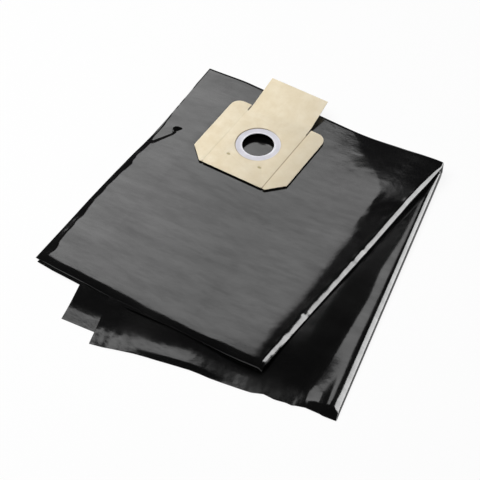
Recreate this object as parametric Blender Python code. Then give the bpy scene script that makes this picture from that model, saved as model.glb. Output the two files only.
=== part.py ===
"""A folded film collection bag for a wet and dry vacuum, with its card collar and seal ring.

One lay-flat film tube, welded at both ends, is folded lengthwise and then crosswise.
The top leaf carries the collar: a base card, an elastic seal ring and a collar card.
Metres, +Z up. +X runs along the back fold, +Y from the front edge to the back fold.
"""

import math

import bmesh
import bpy
from mathutils import Matrix, Vector

# Film tube and its clearances
FILM_WALL = 0.0002
SUBLEAF_EDGE = 0.0010
SUBLEAF_MIDDLE = 0.0022
TOP_BELLY = 0.0022
WELD_THICKNESS = 0.0006
WELD_DEPTH = 0.010
PLY_GAP = 0.0006
LEAF_GAP = 0.0010
EDGE_SWELL_REACH = 0.120

# Top leaf, placed from the centre of the inlet
TOP_LEFT = 0.180
TOP_BACK_WIDTH = 0.476
TOP_FRONT_WIDTH = 0.440
TOP_FRONT = 0.400
TOP_TIP_STEP = 0.007
FOLD_LEFT_Y = 0.126
FOLD_RIGHT_Y = 0.111
FOLD_TIP_STEP = 0.030
FRONT_CURL = 0.018

# Lower leaf, swung out about its back right corner
LOWER_SWING = math.radians(11.4)
LOWER_LENGTH = 0.545
LOWER_FRONT_WIDTH = 0.476
LOWER_TIP_STEP = 0.062
LOWER_TIP_RECESS = 0.030
LOWER_FRONT_BOW = 0.007

# Soft rolls along the lengthwise fold
ROLL_BACK = 0.0150
TOP_ROLL_FRONT = 0.0110
LOWER_ROLL_FRONT = 0.0064
ROLL_REACH_BACK = 0.185
ROLL_REACH_FRONT = 0.070

# Collar
SEAT_HEIGHT = 0.0170
SEAT_MARGIN = 0.012
SEAT_BLEND = 0.090
SEAT_BLEND_BACK = 0.045
FIT_GAP = 0.0003
CARD_THICKNESS = 0.0010
CARD_HALF_WIDTH = 0.0925
CARD_FRONT = 0.085
CARD_BACK = 0.0765
CARD_CORNER = 0.018
CARD_CHAMFER = 0.027
CARD_HOLE = 0.078
PANEL_HALF = 0.0595
NICK = 0.003
CREASE_DEPTH = 0.0003
CREASE_RUN = 0.001
SLIT_LENGTH = 0.0155
SLIT_WIDTH = 0.0016
TAB_LENGTH = 0.064
TAB_TAPER = 0.0015
TAB_TILT = math.radians(15.0)
TAB_BEND = 0.016
MARK_X = 0.031
MARK_Y = -0.046
MARK_SIZE = 0.0034
BASE_INSET = 0.0020
BASE_HOLE = 0.070
INLET_BORE = 0.055
RING_THICKNESS = 0.0008
RING_LIP = 0.0007
RING_LIP_WIDTH = 0.0030
RING_OVERLAP = 0.008
FILM_HOLE_EXTRA = 0.002

# Vent punched through the top ply
VENT_X = -0.140
VENT_Y = -0.041
VENT_SIZE = 0.015

# Where the hollow of the tube begins: a station behind the front weld, a column from a tip
FRONT_WELD_STATION = 2
TIP_SOLID = 1

# Mesh fineness
TIP_COLUMN_SHARES = (0.12, 0.45)
SIDE_COLUMNS = 4
ROLL_CLEARANCE = 0.005
TOP_STATION_SHARES = (0.1, 0.28, 0.5, 0.72, 0.88)
LOWER_STATION_SHARES = (0.05, 0.16, 0.3, 0.45, 0.6, 0.74, 0.86, 0.94)
ARC_POINTS = 7
FOLD_STEPS = 6
TAB_BEND_STEPS = 4
ROUND_SIDES = 64


def clear_scene():
    for item in list(bpy.data.objects):
        bpy.data.objects.remove(item)


def mix(a, b, share):
    return a + (b - a) * share


def smooth(share):
    """A share from 0 to 1, eased at both ends."""
    share = min(max(share, 0.0), 1.0)
    return share * share * (3.0 - 2.0 * share)


def material(name, colour, roughness, coat=0.0):
    made = bpy.data.materials.new(name)
    made.use_nodes = True
    shader = made.node_tree.nodes["Principled BSDF"]
    shader.inputs["Base Color"].default_value = (*colour, 1.0)
    shader.inputs["Roughness"].default_value = roughness
    shader.inputs["Metallic"].default_value = 0.0
    shader.inputs["Coat Weight"].default_value = coat
    return made


def new_object(name, bm, look):
    mesh = bpy.data.meshes.new(name)
    bm.to_mesh(mesh)
    bm.free()
    made = bpy.data.objects.new(name, mesh)
    bpy.context.scene.collection.objects.link(made)
    if look:
        mesh.materials.append(look)
    return made


def cut(target, bm, name):
    """Takes a closed cutter out of a target with a Boolean modifier."""
    cutter = new_object(name, bm, None)
    cutter.hide_render = True
    cutter.display_type = "WIRE"
    boolean = target.modifiers.new(name, "BOOLEAN")
    boolean.operation = "DIFFERENCE"
    boolean.object = cutter


def cylinder(diameter, bottom, top, x=0.0, y=0.0, sides=ROUND_SIDES):
    bm = bmesh.new()
    bmesh.ops.create_cone(
        bm,
        cap_ends=True,
        segments=sides,
        radius1=diameter / 2,
        radius2=diameter / 2,
        depth=top - bottom,
        matrix=Matrix.Translation((x, y, (top + bottom) / 2)),
    )
    return bm


def extruded(points, bottom, top):
    """A prism on a flat outline."""
    bm = bmesh.new()
    face = bm.faces.new([bm.verts.new((x, y, bottom)) for x, y in points])
    grown = bmesh.ops.extrude_face_region(bm, geom=[face])
    risen = [v for v in grown["geom"] if isinstance(v, bmesh.types.BMVert)]
    bmesh.ops.translate(bm, verts=risen, vec=(0.0, 0.0, top - bottom))
    bmesh.ops.recalc_face_normals(bm, faces=bm.faces)
    return bm


def fold_line_y(x):
    """Where the crosswise fold turns, which runs a little askew."""
    right = TOP_BACK_WIDTH - TOP_LEFT
    return mix(FOLD_RIGHT_Y, FOLD_LEFT_Y, (right - x) / TOP_BACK_WIDTH)


def top_right_x(y):
    """The right side of the top leaf, along its soft roll."""
    share = (y + TOP_FRONT) / (FOLD_RIGHT_Y + TOP_FRONT)
    return mix(TOP_FRONT_WIDTH, TOP_BACK_WIDTH, share) - TOP_LEFT


def roll_blend(s, share_front):
    """1 on the soft roll and 0 past its reach, where share_front is 1 at a front edge."""
    reach = mix(ROLL_REACH_BACK, ROLL_REACH_FRONT, share_front)
    return 1.0 - smooth((s - ROLL_BACK) / reach)


def lower_along(v):
    return min(max(v / LOWER_LENGTH, 0.0), 1.0)


def lower_tips(v):
    share = lower_along(v)
    wide = mix(TOP_BACK_WIDTH, LOWER_FRONT_WIDTH, share)
    return wide, wide - mix(FOLD_TIP_STEP, LOWER_TIP_STEP, share)


def lower_layers(s, v):
    """Thickness of the two tube halves of the lower leaf, and the gap between them."""
    share = lower_along(v)
    wide, narrow = lower_tips(v)
    ease = smooth((LOWER_LENGTH - WELD_DEPTH - v) / EDGE_SWELL_REACH)
    halves = []
    for tip in (wide, narrow):
        swell = smooth((tip - s) / EDGE_SWELL_REACH)
        full = mix(SUBLEAF_EDGE, SUBLEAF_MIDDLE, swell)
        halves.append(mix(WELD_THICKNESS, full, ease))
    roll = mix(ROLL_BACK, LOWER_ROLL_FRONT, share)
    spread = max(roll - sum(halves) - PLY_GAP, 0.0)
    return halves[0], halves[1], PLY_GAP + spread * roll_blend(s, share)


def lower_height(s, v):
    return sum(lower_layers(s, v))


def lower_axes():
    """The lower leaf's pivot, and its sideways and backward directions in plan."""
    pivot = Vector((TOP_BACK_WIDTH - TOP_LEFT, FOLD_RIGHT_Y))
    across = Vector((math.cos(LOWER_SWING), math.sin(LOWER_SWING)))
    back = Vector((-math.sin(LOWER_SWING), math.cos(LOWER_SWING)))
    return pivot, across, back


def top_rest_height(x, y):
    """The underside of the top leaf: over the lower leaf, and down to the floor beside it."""
    pivot, across, back = lower_axes()
    offset = Vector((x, y)) - pivot
    s, v = -offset.dot(across), -offset.dot(back)
    wide = lower_tips(v)[0]
    fall = 1.0 - smooth((s - wide) / EDGE_SWELL_REACH)
    return LEAF_GAP + lower_height(min(max(s, 0.0), wide), max(v, 0.0)) * fall


def seat_blend(x, y):
    """1 over the flat seat of the collar, fading out around it."""
    aside = max(abs(x) - CARD_HALF_WIDTH - SEAT_MARGIN, 0.0) / SEAT_BLEND
    ahead = max(-y - CARD_FRONT - SEAT_MARGIN, 0.0) / SEAT_BLEND
    behind = max(y - CARD_BACK - SEAT_MARGIN, 0.0) / SEAT_BLEND_BACK
    return 1.0 - smooth(math.hypot(aside, ahead, behind))


def front_curl(y):
    """Rounds the top leaf down to its front edge: 0 at the edge, 1 behind the curl."""
    near = min(max((y + TOP_FRONT) / FRONT_CURL, 0.0), 1.0)
    return math.sqrt(1.0 - (1.0 - near) ** 2)


def top_layers(x, y):
    """Thickness of the two tube halves of the top leaf, and the gap between them."""
    s = top_right_x(y) - x
    share = min(max((FOLD_RIGHT_Y - y) / (FOLD_RIGHT_Y + TOP_FRONT), 0.0), 1.0)
    curl = front_curl(y)
    wide = top_right_x(y) + TOP_LEFT
    swell = smooth((wide - s) / EDGE_SWELL_REACH)
    under = mix(WELD_THICKNESS, mix(SUBLEAF_EDGE, SUBLEAF_MIDDLE, swell), curl)
    over = mix(SUBLEAF_EDGE, SUBLEAF_MIDDLE + TOP_BELLY * (1.0 - roll_blend(s, share)), swell)
    over = mix(WELD_THICKNESS, over, curl)
    roll = mix(ROLL_BACK, TOP_ROLL_FRONT, share)
    spread = max(roll - under - over - PLY_GAP, 0.0)
    gap = PLY_GAP + spread * roll_blend(s, share) * curl
    seated = SEAT_HEIGHT - top_rest_height(x, y) - under - gap
    return mix(over, seated, seat_blend(x, y)), under, gap


def top_height(x, y):
    """The upper face of the film."""
    return top_rest_height(x, y) + sum(top_layers(x, y))


def chain(wide_columns, narrow_columns, layers_at, wide_tip, narrow_tip):
    """One section through a leaf, as (s, h, normal s, normal h, half thickness).

    It runs from the wide tip over the outer half, round the soft roll and back along the
    inner half to the narrow tip. s is the distance from the roll and h the height above
    the face that the two leaves turn to each other.
    """
    over, under, gap = layers_at(wide_tip)
    points = [(wide_tip, under + gap + over / 2, 0.0, 1.0, 0.0)]
    for s in wide_columns:
        over, under, gap = layers_at(s)
        points.append((s, under + gap + over / 2, 0.0, 1.0, over / 2))
    over, under, gap = layers_at(0.0)
    middle = (gap + over + under) / 2
    for step in range(ARC_POINTS):
        share = step / (ARC_POINTS - 1)
        angle = math.pi * share
        half = mix(over, under, share) / 2
        radius = middle - half
        normal = (-math.sin(angle), math.cos(angle))
        points.append(
            (middle + radius * normal[0], middle + radius * normal[1], *normal, half)
        )
    for s in reversed(narrow_columns):
        over, under, gap = layers_at(s)
        points.append((s, under / 2, 0.0, -1.0, under / 2))
    over, under, gap = layers_at(narrow_tip)
    points.append((narrow_tip, under / 2, 0.0, -1.0, 0.0))
    return points


def columns(tip, inner):
    """Columns of one ply, from near its tip to the last one before the roll."""
    return [mix(tip, inner[0], share) for share in TIP_COLUMN_SHARES] + inner


def top_inner_columns(y):
    """Columns that keep to the collar's sides and its inlet in plan."""
    right = top_right_x(y)
    side = CARD_HALF_WIDTH + SEAT_MARGIN
    hole = BASE_HOLE / 2
    last = right - ROLL_BACK - ROLL_CLEARANCE
    xs = [-side, -hole, hole, side]
    xs += [mix(side, last, (k + 1) / SIDE_COLUMNS) for k in range(SIDE_COLUMNS)]
    return [right - x for x in xs]


def lower_inner_columns(v):
    """Columns that start as the top leaf's and end evenly spread along the front edge."""
    share = lower_along(v)
    at_back = top_inner_columns(FOLD_RIGHT_Y)
    count = len(at_back) - 1
    first = lower_tips(LOWER_LENGTH)[1] * (1.0 - 1.0 / count)
    at_front = [mix(first, at_back[-1], k / count) for k in range(count + 1)]
    return [mix(a, b, share) for a, b in zip(at_back, at_front)]


def top_station(y):
    """A section of the top leaf, with the function that places it."""
    right = top_right_x(y)
    wide = right + TOP_LEFT
    share = min(max((y + TOP_FRONT) / (FOLD_RIGHT_Y + TOP_FRONT), 0.0), 1.0)
    narrow = wide - mix(TOP_TIP_STEP, FOLD_TIP_STEP, share)
    inner = top_inner_columns(y)

    def place(s, h, over):
        x = right - s
        return Vector((x, y, top_rest_height(x, y) + h))

    section = chain(
        columns(wide, inner), columns(narrow, inner), lambda s: top_layers(right - s, y), wide, narrow
    )
    return section, place


def fold_station(turn):
    """A section of the crosswise fold, turned from 0 on the top leaf to pi on the lower."""
    share = turn / math.pi
    right = TOP_BACK_WIDTH - TOP_LEFT
    inner = top_inner_columns(FOLD_RIGHT_Y)

    def layers(s):
        x = right - s
        pairs = zip(top_layers(x, FOLD_RIGHT_Y), lower_layers(s, 0.0))
        return [mix(a, b, smooth(share)) for a, b in pairs]

    def place(s, h, over):
        x = right - s
        reach = LEAF_GAP / 2 + h
        level = lower_height(s, 0.0) + LEAF_GAP / 2
        return Vector(
            (x, fold_line_y(x) + reach * math.sin(turn), level + reach * math.cos(turn))
        )

    wide = TOP_BACK_WIDTH
    narrow = wide - FOLD_TIP_STEP
    return chain(columns(wide, inner), columns(narrow, inner), layers, wide, narrow), place


def lower_station(v):
    """A section of the lower leaf, which lies upside down on the floor."""
    wide, narrow = lower_tips(v)
    pivot, across, back = lower_axes()
    inner = lower_inner_columns(v)

    def place(s, h, over):
        recess = LOWER_FRONT_BOW * math.sin(math.pi * s / wide)
        if over:
            recess += LOWER_TIP_RECESS * (s / wide) ** 2
        spot = pivot - across * s - back * (v - recess * lower_along(v) ** 2)
        return Vector((spot.x, spot.y, lower_height(s, v) - h))

    section = chain(
        columns(wide, inner), columns(narrow, inner), lambda s: lower_layers(s, v), wide, narrow
    )
    return section, place


def stations():
    """Every section from the top leaf's front edge to the lower leaf's front edge."""
    seat_front = -CARD_FRONT - SEAT_MARGIN
    ys = [-TOP_FRONT + d for d in (0.0, WELD_DEPTH / 3, WELD_DEPTH, FRONT_CURL)]
    ys += [mix(ys[-1], seat_front, share) for share in TOP_STATION_SHARES]
    ys += [seat_front, -BASE_HOLE / 2, BASE_HOLE / 2, CARD_BACK + SEAT_MARGIN]
    found = [top_station(y) for y in ys]
    found += [fold_station(math.pi * k / FOLD_STEPS) for k in range(FOLD_STEPS + 1)]
    weld = LOWER_LENGTH - WELD_DEPTH
    vs = [weld * share for share in LOWER_STATION_SHARES]
    found += [lower_station(v) for v in [*vs, weld, LOWER_LENGTH]]
    return found


def shell(bm, sections, first, inset):
    """A closed tube over the stations: the outside of the film, or its hollow if inset.

    The hollow lies one film wall inside, and begins at the column named by first.
    """
    rings = []
    for section, place in sections:
        last = len(section) - 1 - first
        outer, inner = [], []
        for k in range(first, last + 1):
            s, h, normal_s, normal_h, half = section[k]
            over = k < len(section) // 2
            tip = k in (first, last)
            reach = 0.0 if tip else half - inset
            sides = [(s + normal_s * r, h + normal_h * r) for r in (reach, -reach)]
            outer.append(bm.verts.new(place(*sides[0], over)))
            inner.append(outer[-1] if tip else bm.verts.new(place(*sides[1], over)))
        rings.append((outer, inner))
    faces = []
    for (outer, inner), (next_outer, next_inner) in zip(rings, rings[1:]):
        for k in range(len(outer) - 1):
            faces.append((outer[k], outer[k + 1], next_outer[k + 1], next_outer[k]))
            faces.append((inner[k + 1], inner[k], next_inner[k], next_inner[k + 1]))
    for outer, inner in (rings[0], rings[-1]):
        for k in range(len(outer) - 1):
            around = [outer[k], outer[k + 1], inner[k + 1], inner[k]]
            faces.append(list(dict.fromkeys(around)))
    made = [bm.faces.new(corners) for corners in faces]
    bmesh.ops.recalc_face_normals(bm, faces=made)
    return made


def film_bag(look):
    """The film tube in its folds, with the inlet and the vent through its top ply."""
    bm = bmesh.new()
    sections = stations()
    shell(bm, sections, 0, 0.0)
    hollow = shell(bm, sections[FRONT_WELD_STATION:-1], TIP_SOLID, FILM_WALL)
    bmesh.ops.reverse_faces(bm, faces=hollow)
    bmesh.ops.triangulate(bm, faces=bm.faces)
    bag = new_object("film_bag", bm, look)
    over = top_layers(0.0, 0.0)[0]
    hole = BASE_HOLE + FILM_HOLE_EXTRA
    inlet = cylinder(hole, SEAT_HEIGHT - over / 2, SEAT_HEIGHT + over / 2)
    cut(bag, inlet, "inlet_cutter")
    level = top_height(VENT_X, VENT_Y)
    over = top_layers(VENT_X, VENT_Y)[0]
    vent = cylinder(VENT_SIZE, level - over / 2, level + over / 2, VENT_X, VENT_Y, 20)
    cut(bag, vent, "vent_cutter")
    return bag


def arc(x, y, radius, start, end, steps):
    """Points on an arc, in degrees."""
    angles = [math.radians(mix(start, end, k / steps)) for k in range(steps + 1)]
    return [(x + radius * math.cos(a), y + radius * math.sin(a)) for a in angles]


def collar_outline(inset, with_tab):
    """Half of the collar's outline from the middle of its front edge, then its mirror."""
    side = CARD_HALF_WIDTH - inset
    front = -CARD_FRONT + inset
    back = CARD_BACK - inset
    half = []
    if with_tab:
        half += [(PANEL_HALF - NICK / 2, front), (PANEL_HALF, front + NICK)]
        half += [(PANEL_HALF + NICK / 2, front)]
    half += [(side - CARD_CHAMFER, front), (side, front + CARD_CHAMFER)]
    half += arc(side - CARD_CORNER, back - CARD_CORNER, CARD_CORNER, 0, 90, 6)
    if with_tab:
        tab = PANEL_HALF - SLIT_WIDTH
        half += [(PANEL_HALF, back), (PANEL_HALF, back - SLIT_LENGTH)]
        half += [(tab, back - SLIT_LENGTH), (tab, back), (tab - TAB_TAPER, back + TAB_LENGTH)]
    return half + [(-x, y) for x, y in reversed(half)]


def bend_tab(bm, level):
    """Bends the tab up about the line between its slits."""
    start = CARD_BACK - TAB_BEND / 2
    radius = TAB_BEND / TAB_TILT
    for step in range(TAB_BEND_STEPS + 1):
        line = start + TAB_BEND * step / TAB_BEND_STEPS
        inside = [f for f in bm.faces if max(v.co.y for v in f.verts) > CARD_BACK + FIT_GAP]
        edges = list({e for f in inside for e in f.edges})
        verts = list({v for f in inside for v in f.verts})
        bmesh.ops.bisect_plane(
            bm, geom=inside + edges + verts, plane_co=(0, line, 0), plane_no=(0, 1, 0)
        )
    for vert in bm.verts:
        along = vert.co.y - start
        if along <= 0.0 or abs(vert.co.x) >= PANEL_HALF:
            continue
        angle = min(along, TAB_BEND) / radius
        beyond = max(along - TAB_BEND, 0.0)
        up = vert.co.z - level
        vert.co.y = start + (radius - up) * math.sin(angle) + beyond * math.cos(angle)
        vert.co.z = level + radius - (radius - up) * math.cos(angle) + beyond * math.sin(angle)


def card_bottom():
    return SEAT_HEIGHT + 3 * FIT_GAP + CARD_THICKNESS + RING_THICKNESS


def crease(x):
    """A V-shaped cutter along a panel's fold line, running out past both its ends."""
    top = card_bottom() + CARD_THICKNESS
    length = CARD_FRONT + CARD_BACK - SLIT_LENGTH + 2 * CREASE_RUN
    bm = bmesh.new()
    middle = (CARD_BACK - SLIT_LENGTH - CARD_FRONT) / 2
    turned = Matrix.Translation((x, middle, top)) @ Matrix.Rotation(math.pi / 4, 4, "Y")
    size = CREASE_DEPTH * math.sqrt(2)
    bmesh.ops.create_cube(bm, size=1.0, matrix=turned @ Matrix.Diagonal((size, length, size, 1)))
    return bm


def crescent(x):
    """A crescent-shaped cutter for a punch mark."""
    top = card_bottom() + CARD_THICKNESS
    outer = arc(x, MARK_Y, MARK_SIZE, 20, 160, 8)
    inner = arc(x, MARK_Y - MARK_SIZE * 0.55, MARK_SIZE * 1.15, 138, 42, 6)
    return extruded(outer + inner, top - CREASE_DEPTH, top + CREASE_DEPTH)


def collar_card(look):
    """The collar card with its creased side panels and bent tab, cut from one sheet."""
    bottom = card_bottom()
    bm = extruded(collar_outline(0.0, True), bottom, bottom + CARD_THICKNESS)
    bend_tab(bm, bottom + CARD_THICKNESS / 2)
    card = new_object("collar_card", bm, look)
    hole = cylinder(CARD_HOLE, bottom - CARD_THICKNESS, bottom + 2 * CARD_THICKNESS)
    cut(card, hole, "card_hole_cutter")
    for name, x in (("left", -1), ("right", 1)):
        cut(card, crease(x * PANEL_HALF), f"{name}_crease_cutter")
        cut(card, crescent(x * MARK_X), f"{name}_mark_cutter")
    return card


def base_card(look):
    """The card plate that is glued to the film under the seal ring."""
    bottom = SEAT_HEIGHT + FIT_GAP
    bm = extruded(collar_outline(BASE_INSET, False), bottom, bottom + CARD_THICKNESS)
    card = new_object("base_card", bm, look)
    hole = cylinder(BASE_HOLE, bottom - CARD_THICKNESS, bottom + 2 * CARD_THICKNESS)
    cut(card, hole, "base_hole_cutter")
    return card


def seal_ring(look):
    """The elastic ring with a raised inner lip, turned about the inlet's axis."""
    bottom = SEAT_HEIGHT + 2 * FIT_GAP + CARD_THICKNESS
    flat = bottom + RING_THICKNESS
    bore = INLET_BORE / 2
    rim = CARD_HOLE / 2 + RING_OVERLAP
    lip = flat + RING_LIP
    profile = [(bore + RING_LIP / 2, bottom), (bore, bottom + RING_LIP / 2)]
    profile += [(bore, lip - RING_LIP / 2), (bore + RING_LIP / 2, lip)]
    profile += [(bore + RING_LIP_WIDTH - RING_LIP, lip), (bore + RING_LIP_WIDTH, flat)]
    profile += [(rim, flat), (rim, bottom)]
    bm = bmesh.new()
    verts = [bm.verts.new((r, 0.0, z)) for r, z in profile]
    edges = [bm.edges.new((a, b)) for a, b in zip(verts, verts[1:] + verts[:1])]
    bmesh.ops.spin(
        bm, geom=verts + edges, axis=(0, 0, 1), cent=(0, 0, 0), angle=2 * math.pi,
        steps=ROUND_SIDES, use_merge=True,
    )
    bmesh.ops.remove_doubles(bm, verts=bm.verts, dist=0.00001)
    bmesh.ops.recalc_face_normals(bm, faces=bm.faces)
    ring = new_object("seal_ring", bm, look)
    ring.data.shade_smooth()
    ring.data.set_sharp_from_angle(angle=math.radians(35))
    return ring


def centre_on_floor(pieces):
    """Moves everything so that the origin is the bottom centre of the bounding box."""
    corners = [v.co for piece in pieces for v in piece.data.vertices]
    low = [min(c[k] for c in corners) for k in range(3)]
    high = [max(c[k] for c in corners) for k in range(3)]
    offset = Vector((-(low[0] + high[0]) / 2, -(low[1] + high[1]) / 2, -low[2]))
    for item in bpy.data.objects:
        item.location = offset


def main():
    clear_scene()
    film = material("black_film", (0.006, 0.006, 0.006), 0.12, 0.3)
    card = material("kraft_card", (0.72, 0.62, 0.45), 0.75)
    rubber = material("pale_elastomer", (0.62, 0.60, 0.66), 0.45)
    pieces = [film_bag(film), base_card(card), seal_ring(rubber), collar_card(card)]
    centre_on_floor(pieces)


main()
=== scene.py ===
"""Dressed scene of a folded black film collection bag with its card collar and seal ring.

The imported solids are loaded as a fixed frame. The film is rebuilt here as one fine skin in
the same folds, and the collar, the seal ring and the base card get their real finishes.
Metres, +Z up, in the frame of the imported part.
"""

import logging
import math
from collections.abc import Callable, Sequence
from dataclasses import dataclass, field
from enum import Enum

import bmesh
import bpy
from mathutils import Matrix, Vector, noise


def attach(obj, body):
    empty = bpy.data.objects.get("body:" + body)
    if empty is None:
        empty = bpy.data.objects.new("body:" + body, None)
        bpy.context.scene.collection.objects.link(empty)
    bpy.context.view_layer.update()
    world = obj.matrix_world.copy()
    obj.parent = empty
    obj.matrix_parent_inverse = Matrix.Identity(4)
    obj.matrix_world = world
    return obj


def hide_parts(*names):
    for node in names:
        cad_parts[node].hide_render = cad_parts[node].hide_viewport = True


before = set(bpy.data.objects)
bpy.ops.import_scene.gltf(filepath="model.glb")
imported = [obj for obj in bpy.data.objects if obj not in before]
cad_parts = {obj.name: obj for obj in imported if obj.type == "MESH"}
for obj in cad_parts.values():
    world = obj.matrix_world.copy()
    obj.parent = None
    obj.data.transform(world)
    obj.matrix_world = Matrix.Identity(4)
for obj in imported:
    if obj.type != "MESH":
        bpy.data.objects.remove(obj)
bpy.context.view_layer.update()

LOG = logging.getLogger("bag")

# Centre of the inlet in the frame of the part
HUB = Vector((-0.11186, 0.18190, 0.0))
# How far from a tip its closest columns of the film's mesh stand
TIP_STEPS = (0.0003, 0.0010, 0.0022, 0.0042)

Pair = tuple[float, float]
Triple = tuple[float, float, float]
# Places in rising order, each with its value
Table = tuple[Pair, ...]
# The range of a value, and the range that it is mapped to
Remap = tuple[float, float, float, float]
# A point of a film section: distance from the soft roll, height, and whether on the upper half
SectionPoint = tuple[float, float, bool]
Placer = Callable[[float, float, bool], Vector]
Socket = bpy.types.NodeSocket


class Leaf(Enum):
    """The three stretches of the folded tube."""

    TOP = "top"
    BEND = "bend"
    LOWER = "lower"


def mix(a: float, b: float, share: float) -> float:
    """Goes from a to b as share goes from 0 to 1."""
    return a + (b - a) * share


def clip(share: float) -> float:
    """Keeps a share within 0 and 1."""
    return min(max(share, 0.0), 1.0)


def smooth(share: float) -> float:
    """A share from 0 to 1, eased at both ends."""
    share = clip(share)
    return share * share * (3.0 - 2.0 * share)


def rise(place: float, span: Pair) -> float:
    """Climbs from 0 at a span's first place to 1 at its second, eased."""
    return smooth((place - span[0]) / (span[1] - span[0]))


def hump(place: float, middle: float, half: float) -> float:
    """1 at the middle, eased down to 0 at half on both sides of it."""
    return smooth(1.0 - abs(place - middle) / half)


def ramp(share: float, corner: float = 0.2) -> float:
    """A straight climb from 0 to 1 whose two corners are rounded off.

    Args:
        share: How far along the climb.
        corner: How wide a corner is.

    Returns:
        The height of the climb.
    """
    share = share * (1.0 + 2.0 * corner) - corner
    if share <= -corner:
        return 0.0
    if share < corner:
        return (share + corner) ** 2 / (4.0 * corner)
    if share <= 1.0 - corner:
        return share
    if share < 1.0 + corner:
        return 1.0 - (1.0 + corner - share) ** 2 / (4.0 * corner)
    return 1.0


def arch(share: float) -> float:
    """A quarter of an ellipse: 0 at its end, and 1 and level from a share of 1 on."""
    return math.sqrt(1.0 - (1.0 - clip(share)) ** 2)


def along_table(table: Table, place: float) -> float:
    """Reads a value off a table, with straight steps between its places.

    Args:
        table: The table.
        place: Where to read it.

    Returns:
        The value there.
    """
    if place <= table[0][0]:
        return table[0][1]
    for (a, low), (b, high) in zip(table, table[1:]):
        if place <= b:
            return mix(low, high, (place - a) / (b - a))
    return table[-1][1]


def even(first: float, last: float, count: int) -> list[float]:
    """Evenly spread numbers.

    Args:
        first: The first number.
        last: The last number.
        count: How many steps lie between them.

    Returns:
        The count + 1 numbers.
    """
    return [mix(first, last, k / count) for k in range(count + 1)]


def deselect() -> None:
    """Leaves nothing selected."""
    if bpy.context.object and bpy.context.object.mode != "OBJECT":
        bpy.ops.object.mode_set(mode="OBJECT")
    bpy.ops.object.select_all(action="DESELECT")


def select_only(piece: bpy.types.Object) -> None:
    """Makes one object the active and only selected one.

    Args:
        piece: The object.
    """
    deselect()
    piece.select_set(True)
    bpy.context.view_layer.objects.active = piece


def apply_modifiers(piece: bpy.types.Object) -> None:
    """Applies every modifier of a piece, in order.

    Args:
        piece: The piece.
    """
    select_only(piece)
    for modifier in list(piece.modifiers):
        bpy.ops.object.modifier_apply(modifier=modifier.name)


def as_object(name: str, bm: bmesh.types.BMesh) -> bpy.types.Object:
    """Makes an object of a closed mesh and stands it in the scene.

    Args:
        name: The object's name.
        bm: The mesh, which is freed.

    Returns:
        The object.
    """
    mesh = bpy.data.meshes.new(name)
    bm.to_mesh(mesh)
    bm.free()
    made = bpy.data.objects.new(name, mesh)
    bpy.context.scene.collection.objects.link(made)
    return made


def ring_solid(name: str, rings: Sequence[Sequence[Triple]], slot: int = 0) -> bpy.types.Object:
    """A closed solid through a stack of rings, the last of which may be a single point.

    Args:
        name: The object's name.
        rings: The points of each ring.
        slot: The material slot of its faces.

    Returns:
        The solid.
    """
    bm = bmesh.new()
    rows = [[bm.verts.new(spot) for spot in ring] for ring in rings]
    for a, b in zip(rows, rows[1:]):
        for k in range(len(a)):
            n = (k + 1) % len(a)
            bm.faces.new((a[k], a[n], b[0]) if len(b) == 1 else (a[k], a[n], b[n], b[k]))
    for row in (rows[0], rows[-1]):
        if len(row) > 1:
            bm.faces.new(row)
    bmesh.ops.recalc_face_normals(bm, faces=bm.faces)
    for face in bm.faces:
        face.material_index = slot
    return as_object(name, bm)


@dataclass(frozen=True)
class Wave:
    """Smooth noise: its height, how far it is drawn out along each axis, and its seed."""

    height: float
    reach_x: float
    reach_y: float
    seed: float

    def at(self, x: float, y: float) -> float:
        """Its value at a place."""
        spot = Vector((x / self.reach_x, y / self.reach_y, self.seed))
        return self.height * noise.noise(spot)


@dataclass(frozen=True)
class Grain:
    """A noise pattern of a finish: its scale along each axis, its detail and roughness."""

    scale: Triple
    detail: float = 3.0
    rough: float = 0.5


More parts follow.
